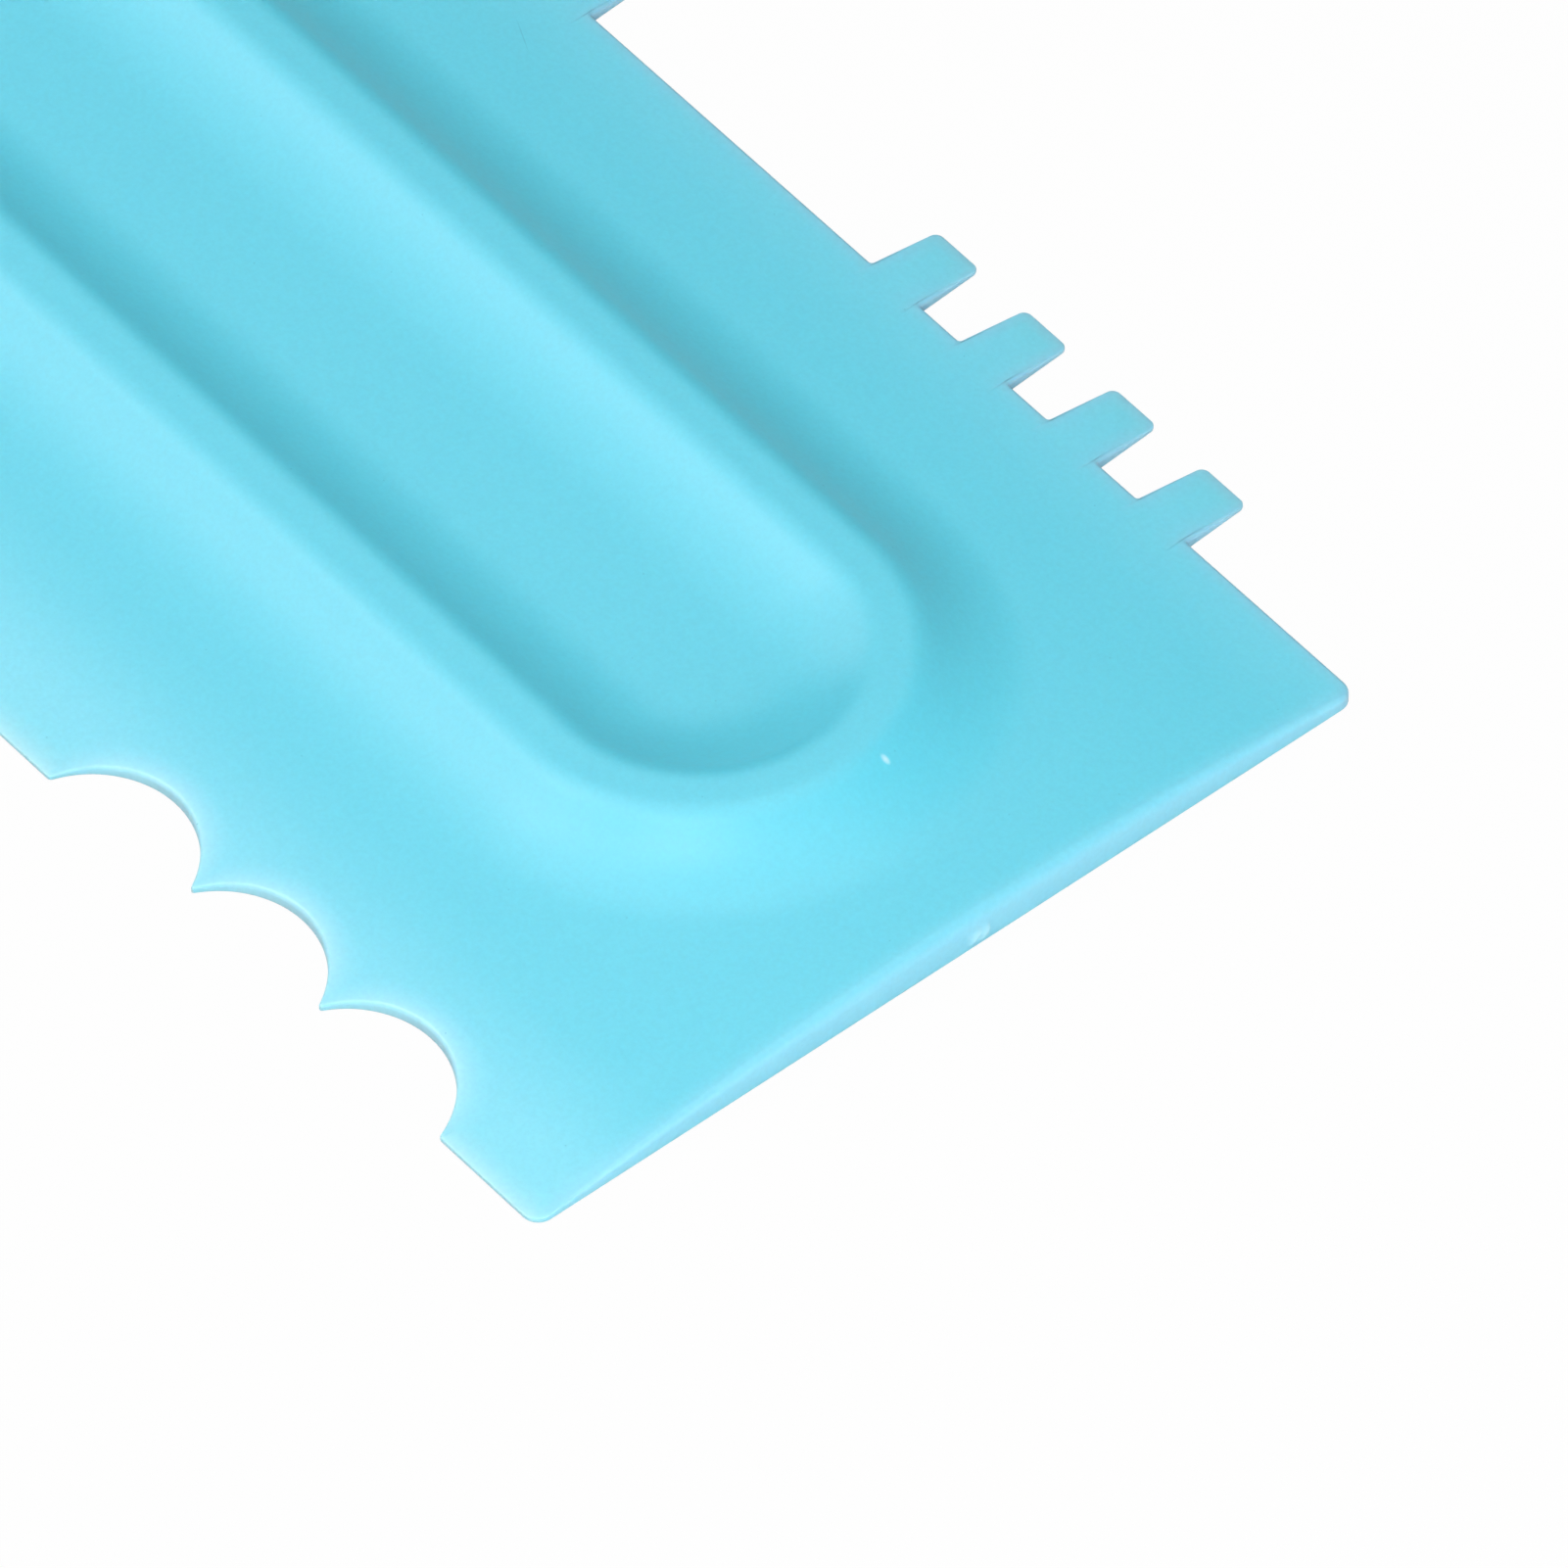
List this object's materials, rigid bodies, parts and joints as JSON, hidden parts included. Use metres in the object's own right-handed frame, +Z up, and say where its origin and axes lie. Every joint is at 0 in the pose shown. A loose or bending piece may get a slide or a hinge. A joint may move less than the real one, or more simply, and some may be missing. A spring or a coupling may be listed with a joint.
{
  "type": "cake comb",
  "caption": "Flat oblong icing comb with square teeth on one long edge, round bites on the other and an oval ridged grip, drawn round an iced cake to rib its side.",
  "frame": {"origin": "middle of the comb's box, on the flat back face that it lies on", "axes": "+X along the length, +Y across the blade to the square teeth, +Z up out of the ridged face"},
  "size_m": [0.2086, 0.0834, 0.0059],
  "materials": {
    "moulded_polypropylene": "satin sky-blue polypropylene, as moulded, its thin edges slightly translucent"
  },
  "bodies": {
    "root": {"bite_cusp_1": "moulded_polypropylene", "bite_cusp_2": "moulded_polypropylene", "bite_cusp_3": "moulded_polypropylene", "bite_cusp_4": "moulded_polypropylene", "bite_cusp_5": "moulded_polypropylene", "bite_cusp_6": "moulded_polypropylene", "edge_land_1": "moulded_polypropylene", "edge_land_2": "moulded_polypropylene", "edge_land_3": "moulded_polypropylene", "edge_land_4": "moulded_polypropylene", "grip_floor": "moulded_polypropylene", "grip_ridge_bite_side": "moulded_polypropylene", "grip_ridge_far_end": "moulded_polypropylene", "grip_ridge_near_end": "moulded_polypropylene", "grip_ridge_tooth_side": "moulded_polypropylene", "square_tooth_1": "moulded_polypropylene", "square_tooth_10": "moulded_polypropylene", "square_tooth_11": "moulded_polypropylene", "square_tooth_12": "moulded_polypropylene", "square_tooth_2": "moulded_polypropylene", "square_tooth_3": "moulded_polypropylene", "square_tooth_4": "moulded_polypropylene", "square_tooth_5": "moulded_polypropylene", "square_tooth_6": "moulded_polypropylene", "square_tooth_7": "moulded_polypropylene", "square_tooth_8": "moulded_polypropylene", "square_tooth_9": "moulded_polypropylene", "web_plate": "moulded_polypropylene"}
  },
  "joints": []
}
